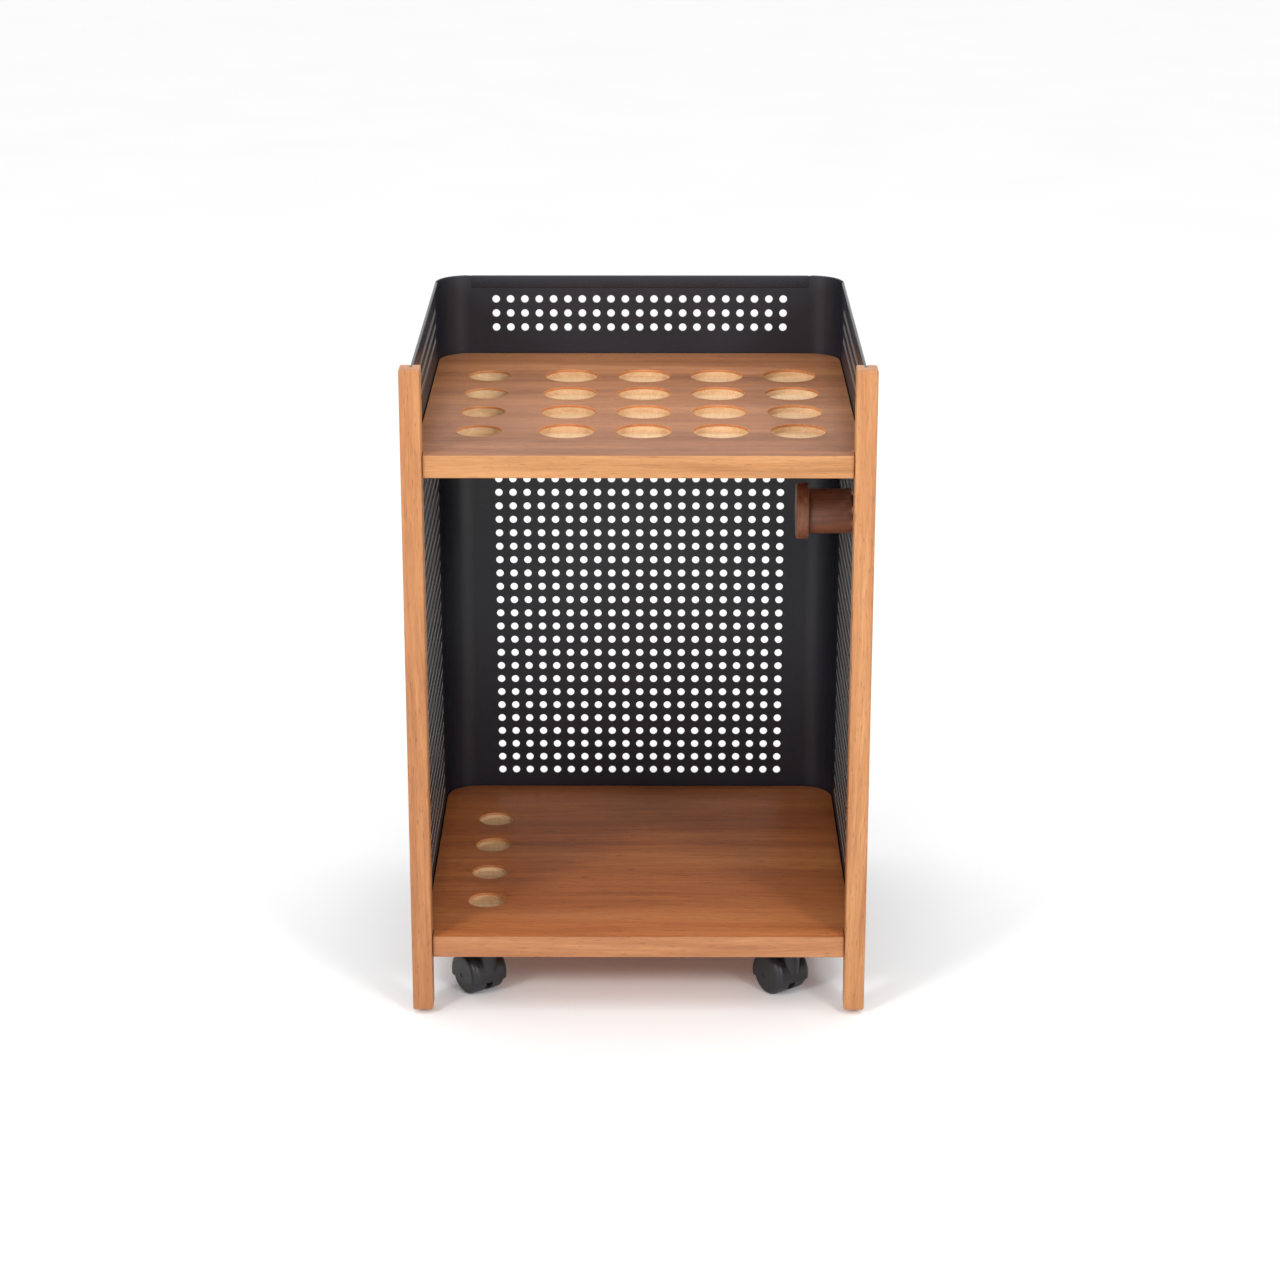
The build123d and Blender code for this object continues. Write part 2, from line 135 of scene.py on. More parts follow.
class Graph:
    """A material's node tree, with short calls for the nodes that the materials share."""

    def __init__(self, name):
        self.material = bpy.data.materials.new(name)
        self.material.use_nodes = True
        self.tree = self.material.node_tree
        self.shader = self.tree.nodes["Principled BSDF"]
        self.position = self.tree.nodes.new("ShaderNodeTexCoord").outputs["Object"]

    def link(self, source, target):
        self.tree.links.new(source, target)

    def node(self, kind, inputs, **settings):
        made = self.tree.nodes.new(kind)
        for key, value in settings.items():
            setattr(made, key, value)
        for key, value in inputs.items():
            if isinstance(value, bpy.types.NodeSocket):
                self.link(value, made.inputs[key])
            else:
                made.inputs[key].default_value = value
        return made

    def stretched(self, scale, offset=(0, 0, 0), warp=None):
        """The object position, scaled along each axis, after an optional warp."""
        source = self.position
        if warp is not None:
            source = self.node("ShaderNodeVectorMath", {0: source, 1: warp}, operation="ADD").outputs[0]
        inputs = {"Vector": source, "Location": offset, "Scale": scale}
        return self.node("ShaderNodeMapping", inputs).outputs[0]

    def noise(self, vector, scale, detail, roughness):
        inputs = {"Vector": vector, "Scale": scale, "Detail": detail, "Roughness": roughness}
        return self.node("ShaderNodeTexNoise", inputs).outputs["Fac"]

    def ramp(self, value, stops):
        """A colour or grey ramp: stops are (position, colour)."""
        made = self.node("ShaderNodeValToRGB", {"Fac": value})
        elements = made.color_ramp.elements
        while len(elements) < len(stops):
            elements.new(0.5)
        for element, (position, colour) in zip(elements, stops):
            element.position = position
            element.color = (*colour, 1) if isinstance(colour, tuple) else (*[colour] * 3, 1)
        return made.outputs["Color"]

    def mix(self, factor, a, b, blend="MIX"):
        made = self.tree.nodes.new("ShaderNodeMix")
        made.data_type = "RGBA"
        made.blend_type = blend
        for key, value in (("Factor_Float", factor), ("A_Color", a), ("B_Color", b)):
            socket = next(s for s in made.inputs if s.identifier == key)
            if isinstance(value, bpy.types.NodeSocket):
                self.link(value, socket)
            elif isinstance(value, tuple):
                socket.default_value = (*value, 1)
            else:
                socket.default_value = value
        return next(s for s in made.outputs if s.identifier == "Result_Color")

    def math(self, operation, a, b):
        return self.node("ShaderNodeMath", {0: a, 1: b}, operation=operation).outputs[0]

    def bump(self, height, strength, distance):
        """Adds a bump below any that the shader already has."""
        inputs = {"Height": height, "Strength": strength, "Distance": distance}
        if self.shader.inputs["Normal"].links:
            inputs["Normal"] = self.shader.inputs["Normal"].links[0].from_socket
        self.link(self.node("ShaderNodeBump", inputs).outputs[0], self.shader.inputs["Normal"])

    def finish(self, colour, roughness, **constants):
        self.link(colour, self.shader.inputs["Base Color"])
        self.link(roughness, self.shader.inputs["Roughness"])
        for key, value in constants.items():
            self.shader.inputs[key.replace("_", " ")].default_value = value
        return self.material


def srgb(red, green, blue):
    """An 8-bit sRGB colour as linear values."""
    values = (red / 255, green / 255, blue / 255)
    return tuple(((v + 0.055) / 1.055) ** 2.4 for v in values)


def wood(name, palette, grain, shift, gloss=0.42, pore_strength=1.0, cross_grain=""):
    """Long-grained wood: palette is (dark, middle, light) and grain is the axis that the fibres follow.

    A cross grain adds faint tool lines along a second axis."""
    dark, middle, light = palette
    g = Graph(name)

    def along(length, across, fibre_axis=grain):
        return tuple(length if axis == fibre_axis else across for axis in "XYZ")

    # A slow wander bends the growth bands along the board.
    wander = g.node(
        "ShaderNodeTexNoise",
        {"Vector": g.stretched(along(2.2, 5.0), shift), "Scale": 1.0, "Detail": 2.0, "Roughness": 0.5},
    ).outputs["Color"]
    centred = {0: wander, 1: (0.5, 0.5, 0.5)}
    wander = g.node("ShaderNodeVectorMath", centred, operation="SUBTRACT").outputs[0]
    wander = g.node("ShaderNodeVectorMath", {0: wander, "Scale": 0.035}, operation="SCALE").outputs[0]
    bands = g.noise(g.stretched(along(1.3, 30.0), shift, wander), 1.0, 5.0, 0.62)
    streaks = g.noise(g.stretched(along(9.0, 260.0), shift, wander), 1.0, 5.0, 0.7)
    fibres = g.noise(g.stretched(along(55.0, 1500.0), shift), 1.0, 3.0, 0.6)
    pores = g.noise(g.stretched(along(70.0, 900.0), shift), 1.0, 2.0, 0.5)
    tone = g.math("ADD", g.math("MULTIPLY", bands, 0.62), g.math("MULTIPLY", streaks, 0.38))
    colour = g.ramp(tone, [(0.33, dark), (0.5, middle), (0.68, light)])
    fibre_shade = g.ramp(fibres, [(0.3, 0.86), (0.7, 1.08)])
    colour = g.mix(1.0, colour, fibre_shade, "MULTIPLY")
    if cross_grain:
        crossing = g.noise(g.stretched(along(40.0, 700.0, cross_grain), shift), 1.0, 3.0, 0.6)
        colour = g.mix(1.0, colour, g.ramp(crossing, [(0.3, 0.88), (0.7, 1.08)]), "MULTIPLY")
    pore_mask = g.ramp(pores, [(0.30, 1.0), (0.38, 0.0)])
    pore_factor = g.math("MULTIPLY", pore_mask, 0.55 * pore_strength)
    colour = g.mix(pore_factor, colour, tuple(v * 0.45 for v in dark))
    cloud = g.noise(g.stretched((6, 6, 6), shift), 1.0, 3.0, 0.5)
    colour = g.mix(0.5, colour, g.ramp(cloud, [(0.3, 0.42), (0.7, 0.58)]), "SOFT_LIGHT")
    dullness = g.math("ADD", g.math("MULTIPLY", streaks, 0.5), g.math("MULTIPLY", pore_mask, 0.3))
    rough = g.ramp(dullness, [(0.1, gloss - 0.05), (0.7, gloss + 0.14)])
    g.bump(fibres, 0.25, 0.00012)
    g.bump(g.math("SUBTRACT", 1.0, pore_mask), 0.35 * pore_strength, 0.00018)
    return g.finish(colour, rough, Specular_IOR_Level=0.42)


def powder_coat(name, ramp_ends, cloud_colour, gloss):
    """Powder coat on steel, with its fine orange peel."""
    g = Graph(name)
    peel = g.noise(g.stretched((1, 1, 1)), 900.0, 3.0, 0.6)
    grit = g.noise(g.stretched((1, 1, 1), (3, 1, 2)), 2600.0, 2.0, 0.5)
    cloud = g.noise(g.stretched((1, 1, 1), (7, 5, 1)), 9.0, 3.0, 0.5)
    colour = g.ramp(grit, [(0.3, ramp_ends[0]), (0.72, ramp_ends[1])])
    colour = g.mix(g.ramp(cloud, [(0.35, 0.0), (0.7, 0.35)]), colour, cloud_colour)
    blotches = g.math("ADD", g.math("MULTIPLY", peel, 0.5), g.math("MULTIPLY", cloud, 0.5))
    rough = g.ramp(blotches, [(0.3, gloss), (0.7, gloss + 0.14)])
    g.bump(peel, 0.32, 0.0003)
    g.bump(grit, 0.25, 0.00012)
    return g.finish(colour, rough, Specular_IOR_Level=0.5)


def plastic(name, base, gloss):
    """Moulded nylon: fine spark texture, faint flow marks and scuffs."""
    g = Graph(name)
    spark = g.noise(g.stretched((1, 1, 1)), 3200.0, 2.0, 0.5)
    scuff = g.noise(g.stretched((60, 60, 420), (2, 1, 3)), 1.0, 4.0, 0.65)
    colour = g.mix(g.ramp(scuff, [(0.5, 0.0), (0.75, 0.4)]), base, tuple(v * 1.9 + 0.01 for v in base))
    rough = g.ramp(scuff, [(0.35, gloss), (0.7, gloss + 0.2)])
    g.bump(spark, 0.22, 0.0001)
    return g.finish(colour, rough, Specular_IOR_Level=0.5)


def zinc():
    """Zinc-plated steel with fine drawing lines and soft spangle."""
    g = Graph("zinc_plated_steel")
    lines = g.noise(g.stretched((300, 300, 2600)), 1.0, 3.0, 0.6)
    cells = g.node("ShaderNodeTexVoronoi", {"Vector": g.stretched((1, 1, 1)), "Scale": 320.0})
    spangle = cells.outputs["Color"]
    colour = g.mix(0.25, srgb(176, 178, 182), spangle, "SOFT_LIGHT")
    rough = g.ramp(lines, [(0.3, 0.26), (0.75, 0.46)])
    g.bump(lines, 0.15, 0.00008)
    return g.finish(colour, rough, Metallic=1.0)


TOP_OILED = (srgb(130, 80, 48), srgb(166, 107, 67), srgb(190, 130, 87))
# Painted light: the lower shelf's top is a warmer, more saturated copy of the top shelf's wood colour,
# standing in for the warm light bounced inside the compartment.
LOWER_OILED_PAINTED_LIGHT = (srgb(146, 78, 39), srgb(182, 106, 57), srgb(206, 132, 77))
# Painted light: the top shelf's front edges are a lighter copy of the same board's top colour, for front
# faces that catch more light than the top.
EDGE_OILED_PAINTED_LIGHT = (srgb(160, 107, 60), srgb(189, 133, 83), srgb(209, 158, 108))
# Painted shade: the lower shelf's front edges are a darker copy of the top shelf's edge colour, for the
# lesser light that reaches them.
LOWER_EDGE_OILED_PAINTED_SHADE = (srgb(144, 90, 54), srgb(172, 114, 72), srgb(194, 138, 94))
POST_OILED = (srgb(150, 93, 54), srgb(180, 122, 75), srgb(204, 150, 100))
RAW = (srgb(184, 140, 96), srgb(214, 174, 130), srgb(232, 200, 160))
EDGE_STAIN = (srgb(168, 98, 52), srgb(200, 128, 76), srgb(218, 150, 96))
WALNUT = (srgb(92, 54, 36), srgb(134, 82, 56), srgb(172, 112, 78))

post_wood = wood("oiled_post_wood", POST_OILED, "Z", (0.3, 0.7, 0.1))
shelf_wood = wood("oiled_shelf_wood", TOP_OILED, "X", (1.3, 0.2, 4.1))
lower_shelf_painted_light_wood = wood("oiled_lower_shelf_painted_light", LOWER_OILED_PAINTED_LIGHT, "X", (5.2, 2.4, 1.7))
shelf_edge_painted_light_wood = wood("oiled_shelf_edge_painted_light", EDGE_OILED_PAINTED_LIGHT, "X", (0.4, 5.1, 2.6), 0.46)
lower_edge_painted_shade_wood = wood("oiled_lower_edge_painted_shade", LOWER_EDGE_OILED_PAINTED_SHADE, "X", (3.4, 1.1, 0.6), 0.46)
raw_wood = wood("raw_seat_wood", RAW, "X", (2.0, 3.0, 1.0), 0.62, 0.4, "Y")
stain_rim = wood("stained_seat_rim", EDGE_STAIN, "X", (4.0, 1.0, 2.0), 0.5, 0.5)
walnut_barrel = wood("walnut_barrel", WALNUT, "X", (0.5, 0.1, 0.9), 0.4)
walnut_flange = wood("walnut_flange", WALNUT, "Z", (2.5, 1.1, 0.4), 0.4)
steel = powder_coat("black_powder_coat", (srgb(15, 16, 22), srgb(31, 33, 44)), srgb(34, 36, 47), 0.36)
# Painted sheen: the fold's coat colour is lighter than the sheet's, to stand in for the highlight along the
# folded top edge; it is also glossier.
fold_painted_sheen_steel = powder_coat("fold_coat_painted_sheen", (srgb(22, 23, 29), srgb(40, 42, 51)), srgb(44, 46, 54), 0.22)
cut_steel = powder_coat("cut_edge_coat", (srgb(92, 88, 86), srgb(132, 126, 122)), srgb(120, 114, 110), 0.3)
hood_plastic = plastic("hood_nylon", srgb(22, 22, 27), 0.34)
wheel_plastic = plastic("wheel_nylon", srgb(29, 29, 34), 0.42)
zinc_steel = zinc()


# Shell: one sheet, from the left front edge round the back to the right front edge

left_low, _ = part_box("left_panel")
_, right_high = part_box("right_panel")
back_low, back_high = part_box("back_panel")
half_width = right_high.x
fold_low, fold_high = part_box("back_fold")
fold_thickness = fold_high.y - fold_low.y
sheet = back_high.y - back_low.y
bend_x = back_high.x
bend_radius = half_width - bend_x
bend_y = back_high.y - bend_radius
front_edge_y = left_low.y
shell_low = back_low.z
shell_high = fold_high.z
side_run = bend_y - front_edge_y
back_run = 2 * bend_x
bend_run = bend_radius * math.pi / 2

back_grid = mounts["back_pegboard"]
side_grid = mounts["left_pegboard"]
hole_radius = back_grid["dims"]["hole_r_mm"] * MM
pitch = back_grid["dims"]["spacing_x_mm"] * MM / (HOLE_COLUMNS - 1)
lower_field = back_grid["pos_m"][2]
side_field_y = side_grid["pos_m"][1]
top_field_low = shell_high - FIRST_ROW_DROP - (TOP_ROWS - 1) * pitch
run_starts = (
    0,
    side_run,
    side_run + bend_run,
    side_run + bend_run + back_run,
    side_run + 2 * bend_run + back_run,
)
total_run = 2 * side_run + 2 * bend_run + back_run


def on_shell(run, inward, z):
    """The point at a distance along the shell's outer face, a depth inwards and a height."""
    start_bend, start_back, second_bend, start_right = run_starts[1:]
    radius = bend_radius - inward
    if run <= start_bend:
        return (-half_width + inward, front_edge_y + run, z)
    if run <= start_back:
        angle = (run - start_bend) / bend_radius
        return (-bend_x - radius * math.cos(angle), bend_y + radius * math.sin(angle), z)
    if run <= second_bend:
        return (-bend_x + run - start_back, back_high.y - inward, z)
    if run <= start_right:
        angle = (run - second_bend) / bend_radius
        return (bend_x + radius * math.sin(angle), bend_y + radius * math.cos(angle), z)
    return (half_width - inward, bend_y - (run - start_right), z)


def in_bend(run):
    """Whether a point along the shell is inside one of its two bends."""
    return run_starts[1] + FOLD_SETBACK < run < run_starts[2] - FOLD_SETBACK or (
        run_starts[3] + FOLD_SETBACK < run < run_starts[4] - FOLD_SETBACK
    )


def cell_edges(middle, count):
    """The edges of a row of grid cells about its middle."""
    return [middle + (k - count / 2) * pitch for k in range(count + 1)]


def shell_mesh():
    """The perforated sheet's vertices and faces, and which faces are the walls of its holes."""
    left_field = cell_edges(side_field_y - front_edge_y, HOLE_COLUMNS)
    back_field = cell_edges(run_starts[2] + bend_x, HOLE_COLUMNS)
    right_field = cell_edges(run_starts[4] + bend_y - side_field_y, HOLE_COLUMNS)
    bend_starts = (run_starts[1], run_starts[3])
    bend_lines = [start + bend_run * k / BEND_STEPS for start in bend_starts for k in range(BEND_STEPS + 1)]
    runs = sorted([0, total_run, *left_field, *back_field, *right_field, *bend_lines])
    lower_rows = cell_edges(lower_field, LOWER_ROWS)
    top_rows = cell_edges(top_field_low + (TOP_ROWS - 1) / 2 * pitch, TOP_ROWS)
    rounding = sheet * LOWER_RIM_ROUNDING
    heights = sorted([shell_low + rounding, shell_high - fold_thickness / 2, *lower_rows, *top_rows])
    columns = {round(edge, 6) for field in (left_field, back_field, right_field) for edge in field[:-1]}
    rows = {round(edge, 6) for field in (lower_rows, top_rows) for edge in field[:-1]}
    vertices = []
    faces = []
    cut_faces = []
    grid = {}
    for i, run in enumerate(runs):
        for j, z in enumerate(heights):
            for side, inward in enumerate((0, sheet)):
                grid[i, j, side] = len(vertices)
                vertices.append(on_shell(run, inward, z))

    def add(loop, inner):
        faces.append(loop if inner else loop[::-1])

    def hole(i, j):
        """A round hole with eased edges in the grid cell above and after line i, j."""
        run = (runs[i] + runs[i + 1]) / 2
        z = (heights[j] + heights[j + 1]) / 2
        rings = []
        for radius, inward in (
            (hole_radius + HOLE_EASING, sheet),
            (hole_radius, sheet - HOLE_EASING),
            (hole_radius, HOLE_EASING),
            (hole_radius + HOLE_EASING, 0),
        ):
            rings.append(range(len(vertices), len(vertices) + HOLE_SIDES))
            for k in range(HOLE_SIDES):
                angle = 2 * math.pi * k / HOLE_SIDES
                height = z + radius * math.sin(angle)
                vertices.append(on_shell(run + radius * math.cos(angle), inward, height))
        quarter = HOLE_SEGMENTS_PER_CORNER
        corners = ((i + 1, j + 1), (i, j + 1), (i, j), (i + 1, j))
        for side, ring in ((1, rings[0]), (0, rings[-1])):
            for q, corner in enumerate(corners):
                here = grid[(*corner, side)]
                before = grid[(*corners[q - 1], side)]
                add([before, here, ring[q * quarter]], side)
                for k in range(q * quarter, (q + 1) * quarter):
                    add([ring[k], here, ring[(k + 1) % HOLE_SIDES]], side)
        for near, far in zip(rings, rings[1:]):
            for k in range(HOLE_SIDES):
                after = (k + 1) % HOLE_SIDES
                cut_faces.append(len(faces))
                faces.append([near[k], near[after], far[after], far[k]])

    for i in range(len(runs) - 1):
        for j in range(len(heights) - 1):
            if round(runs[i], 6) in columns and round(heights[j], 6) in rows:
                hole(i, j)
                continue
            cell_corners = ((i, j), (i + 1, j), (i + 1, j + 1), (i, j + 1))
            for side in (0, 1):
                add([grid[(*corner, side)] for corner in cell_corners], side)

    # Rounded bottom edge, and the top edge, which stays below the fold on the straight runs
    rounded = {-1: [], 1: []}
    for j, turn in ((0, -1), (len(heights) - 1, 1)):
        rim = rounding if turn < 0 else fold_thickness / 2
        previous = [grid[i, j, 0] for i in range(len(runs))]
        for k in range(1, RIM_STEPS):
            inward = sheet / 2 * (1 - math.cos(math.pi * k / RIM_STEPS))
            current = []
            for run in runs:
                covered = turn > 0 and not in_bend(run)
                rise = rim * math.sin(math.pi * k / RIM_STEPS) * (COVERED_RISE if covered else 1)
                current.append(len(vertices))
                vertices.append(on_shell(run, inward, heights[j] + rise * turn))
            join_rows(faces, previous, current, turn)
            rounded[turn].append(current)
            previous = current
        join_rows(faces, previous, [grid[i, j, 1] for i in range(len(runs))], turn)

    # The sheet's two front ends, closed
    for i in (0, len(runs) - 1):
        outer = [grid[i, j, 0] for j in range(len(heights))]
        inner = [grid[i, j, 1] for j in range(len(heights))]
        over = [row[i] for row in rounded[1]]
        under = [row[i] for row in rounded[-1]]
        loop = [*outer, *over, *inner[::-1], *under[::-1]]
        faces.append(loop[::-1] if i == 0 else loop)
    return vertices, faces, cut_faces


def join_rows(faces, first, second, turn):
    """Quads between two rows of vertices, facing up (turn 1) or down (turn -1)."""
    for a, b, c, d in zip(first, first[1:], second[1:], second):
        faces.append([a, b, c, d] if turn < 0 else [d, c, b, a])


def strip(vertices, faces, outline, stations):
    """Sweeps a closed outline of (inward, height) points through run stations and closes its ends."""
    first = len(vertices)
    count = len(outline)
    for run in stations:
        vertices.extend(on_shell(run, inward, z) for inward, z in outline)
    for s in range(len(stations) - 1):
        for k in range(count):
            a = first + s * count + k
            b = first + s * count + (k + 1) % count
            faces.append([a, b, b + count, a + count])
    last = first + (len(stations) - 1) * count
    faces.append(list(range(first, first + count))[::-1])
    faces.append(list(range(last, last + count)))


def fold_outline():
    """The folded top edge in section: over the top in a half round, and down inside to a soft lip."""
    radius = fold_thickness / 2
    top = shell_high - radius
    over_arcs = [math.pi * k / FOLD_STEPS for k in range(FOLD_STEPS + 1)]
    over = [(radius - radius * math.cos(a), top + radius * math.sin(a)) for a in over_arcs]
    lip_radius = sheet / 2
    lip_middle = sheet + lip_radius
    lip_z = fold_low.z + lip_radius
    lip_arcs = [math.pi * k / LIP_STEPS for k in range(LIP_STEPS + 1)]
    lip = [(lip_middle + lip_radius * math.cos(a), lip_z - lip_radius * math.sin(a)) for a in lip_arcs]
    return [*over, *lip, (sheet, top)]


SHEET, CUT, FOLD = 0, 1, 2
shell_vertices, shell_faces, cut_faces = shell_mesh()
shell_materials = [SHEET] * len(shell_faces)
for number in cut_faces:
    shell_materials[number] = CUT
section = fold_outline()
for start, end in (
    (0, run_starts[1] - FOLD_SETBACK),
    (run_starts[2] + FOLD_SETBACK, run_starts[3] - FOLD_SETBACK),
    (run_starts[4] + FOLD_SETBACK, total_run),
):
    strip(shell_vertices, shell_faces, section, [start, (start + end) / 2, end])
shell_materials.extend([FOLD] * (len(shell_faces) - len(shell_materials)))
shell = mesh_object(
    "perforated_shell", shell_vertices, shell_faces, [steel, cut_steel, fold_painted_sheen_steel], shell_materials
)
shell_nodes = (
    "back_panel",
    "left_panel",
    "right_panel",
    "left_corner",
    "right_corner",
    "back_fold",
    "left_fold",
    "right_fold",
)
place_piece(shell, "cart", "black_steel", *shell_nodes)


# Boards: flat outlines with eased edges and round seats


def rounded_outline(corners, inset=0.0):
    """Points round a closed outline of ((x, y), radius) corners, moved inwards by an inset.

    The corners go round counter-clockwise, and every corner gives the same number of points at any inset."""
    points = []
    count = len(corners)
    for k, ((x, y), radius) in enumerate(corners):
        here = Vector((x, y))
        before = (here - Vector(corners[k - 1][0])).normalized()
        after = (Vector(corners[(k + 1) % count][0]) - here).normalized()
        turn = before.x * after.y - before.y * after.x
        normal_before = Vector((-before.y, before.x))
        normal_after = Vector((-after.y, after.x))
        if turn < 0:
            points.append(here + (normal_before + normal_after) * inset)
            continue
        steps = WIDE_CORNER_STEPS if radius > WIDE_CORNER else SMALL_CORNER_STEPS
        centre = here + (normal_before + normal_after) * radius
        reach = max(radius - inset, 0.0)
        corner = here + (normal_before + normal_after) * inset if inset > radius else centre
        for step in range(steps + 1):
            angle = math.pi / 2 * step / steps
            outward = normal_before * math.cos(angle) + normal_after * math.sin(angle)
            points.append(corner - outward * reach)
    return points


def ring(centre, radius):
    """Points round a circle, counter-clockwise."""
    x, y = centre
    angles = [2 * math.pi * k / CIRCLE_SIDES for k in range(CIRCLE_SIDES)]
    return [Vector((x + radius * math.cos(a), y + radius * math.sin(a))) for a in angles]


class Board:
    """The mesh of a flat board, built up from outlines at different heights."""

    def __init__(self):
        self.vertices = []
        self.faces = []
        self.face_materials = []

    def row(self, points, z):
        first = len(self.vertices)
        self.vertices.extend((p.x, p.y, z) for p in points)
        return list(range(first, len(self.vertices)))

    def wall(self, lower, upper, material, outward=True):
        """Quads between two closed rows that go round counter-clockwise."""
        for k in range(len(lower)):
            after = (k + 1) % len(lower)
            quad = [lower[k], lower[after], upper[after], upper[k]]
            self.faces.append(quad if outward else quad[::-1])
            self.face_materials.append(material)

    def cap(self, outer, inner_rows, material, up=True):
        """A flat face inside one closed row and outside the others."""
        used = outer + [i for row in inner_rows for i in row]
        flat = [Vector(self.vertices[i][:2]) for i in used]
        loops = [outer, *inner_rows]
        edges = []
        start = 0
        for loop in loops:
            edges.extend((start + k, start + (k + 1) % len(loop)) for k in range(len(loop)))
            start += len(loop)
        made, _, triangles, origins, _, _ = delaunay_2d_cdt(flat, edges, [], 0, 1e-7)
        source = [origin[0] for origin in origins]
        owner = [number for number, loop in enumerate(loops) for _ in loop]
        for triangle in triangles:
            ids = [source[i] for i in triangle]
            middle = sum((made[i] for i in triangle), Vector((0, 0))) / 3
            holes = {owner[i] for i in ids} - {0}
            rim = [point for point, number in zip(flat, owner) if number in holes]
            if len(holes) == 1 and self.inside(middle, rim):
                continue
            if not self.inside(middle, flat[: len(outer)]):
                continue
            corners = [made[i] for i in triangle]
            area = (corners[1] - corners[0]).cross(corners[2] - corners[0])
            loop = [used[i] for i in ids]
            self.faces.append(loop if (area > 0) == up else loop[::-1])
            self.face_materials.append(material)

    @staticmethod
    def inside(point, polygon):
        crossings = 0
        for a, b in zip(polygon, polygon[1:] + polygon[:1]):
            if (a.y > point.y) != (b.y > point.y):
                crossings += a.x + (point.y - a.y) / (b.y - a.y) * (b.x - a.x) > point.x
        return crossings % 2 == 1

    def disc(self, row, centre, z, material, up=True):
        """A round floor as a fan."""
        middle = len(self.vertices)
        self.vertices.append((*centre, z))
        for k in range(len(row)):
            fan = [middle, row[k], row[(k + 1) % len(row)]]
            self.faces.append(fan if up else fan[::-1])
            self.face_materials.append(material)


SKIN, RIM, CORE, EDGE = 0, 1, 2, 3


def board_mesh(corners, low, high, easing, blind=(), through=(), edge=SKIN):
    """A board with eased outer edges, blind seats as (centre, radius, floor z) and through holes."""
    board = Board()
    arcs = [math.pi / 2 * k / EASING_STEPS for k in range(EASING_STEPS + 1)]
    eased = [(easing * (1 - math.sin(a)), low + easing * (1 - math.cos(a))) for a in arcs]
    eased += [(easing * (1 - math.cos(a)), high - easing * (1 - math.sin(a))) for a in arcs]
    rows = [board.row(rounded_outline(corners, inset), z) for inset, z in eased]
    for lower, upper in zip(rows, rows[1:]):
        board.wall(lower, upper, edge)
    top_rims = []
    bottom_rims = []
    for centre, radius, floor in [*blind, *[(*hole, None) for hole in through]]:
        rim = []
        for a in arcs:
            outline = ring(centre, radius + SEAT_EASING * (1 - math.cos(a)))
            rim.append(board.row(outline, high - SEAT_EASING * (1 - math.sin(a))))
        top_rims.append(rim[-1])
        for lower, upper in zip(rim, rim[1:]):
            board.wall(lower, upper, RIM, outward=False)
        stain_end = board.row(ring(centre, radius), high - STAIN_DEPTH)
        board.wall(stain_end, rim[0], RIM, outward=False)
        if floor is None:
            stain_start = board.row(ring(centre, radius), low + STAIN_DEPTH)
            board.wall(stain_start, stain_end, CORE, outward=False)
            bottom_rim = board.row(ring(centre, radius), low)
            board.wall(bottom_rim, stain_start, RIM, outward=False)
            bottom_rims.append(bottom_rim)
        else:
            floor_edge = board.row(ring(centre, radius), floor)
            board.wall(floor_edge, stain_end, CORE, outward=False)
            board.disc(floor_edge, centre, floor, CORE)
    board.cap(rows[-1], top_rims, SKIN)
    board.cap(rows[0], bottom_rims, SKIN, up=False)
    return board


def seats(prefix):
    """The centres of the round seats whose stated openings begin with a name."""
    boxes = [o["box_m"] for o in openings if o["name"].startswith(prefix)]
    return [((low[0] + high[0]) / 2, (low[1] + high[1]) / 2) for low, high in boxes]


BALL_SEAT_RADIUS = 27 * MM
BALL_SEAT_DEPTH = 7 * MM
CUE_CUP_RADIUS = 18.5 * MM
CUE_CUP_DEPTH = 6 * MM
cue_hole_radius = mounts["cue_holes"]["dims"]["hole_r_mm"] * MM

post_low, post_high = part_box("right_post")
notch_x = post_low.x - POST_SIDE_GAP
notch_y = post_high.y + POST_SIDE_GAP


def shelf_outline(node):
    """The shelf's corners: notched round the posts at the front and rounded at the back."""
    low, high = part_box(node)
    rear_radius = bend_radius - (half_width - high.x)
    return [
        ((-notch_x, low.y), BOARD_CORNER),
        ((notch_x, low.y), BOARD_CORNER),
        ((notch_x, notch_y), 0),
        ((high.x, notch_y), BOARD_CORNER),
        ((high.x, high.y), rear_radius),
        ((low.x, high.y), rear_radius),
        ((low.x, notch_y), BOARD_CORNER),
        ((-notch_x, notch_y), 0),
    ]


def make_shelf(node, piece_name, skin, edge_wood, blind, through):
    low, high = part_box(node)
    board = board_mesh(shelf_outline(node), low.z, high.z, SHELF_EASING, blind, through, EDGE)
    materials = [skin, stain_rim, raw_wood, edge_wood]
    parts = (board.vertices, board.faces, materials, board.face_materials)
    obj = mesh_object(piece_name, *parts, weld=WELD_DISTANCE)
    place_piece(obj, "cart", "stained_board", node)


top_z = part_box("top_shelf")[1].z
bottom_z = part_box("bottom_shelf")[1].z
ball_seats = [(centre, BALL_SEAT_RADIUS, top_z - BALL_SEAT_DEPTH) for centre in seats("ball_seat")]
cue_cups = [(centre, CUE_CUP_RADIUS, bottom_z - CUE_CUP_DEPTH) for centre in seats("cue_cup")]
cue_holes = [(centre, cue_hole_radius) for centre in seats("cue_hole")]
make_shelf("top_shelf", "seat_board", shelf_wood, shelf_edge_painted_light_wood, ball_seats, cue_holes)
make_shelf("bottom_shelf", "base_board", lower_shelf_painted_light_wood, lower_edge_painted_shade_wood, cue_cups, ())


# Posts, each with its groove for the shell's edge


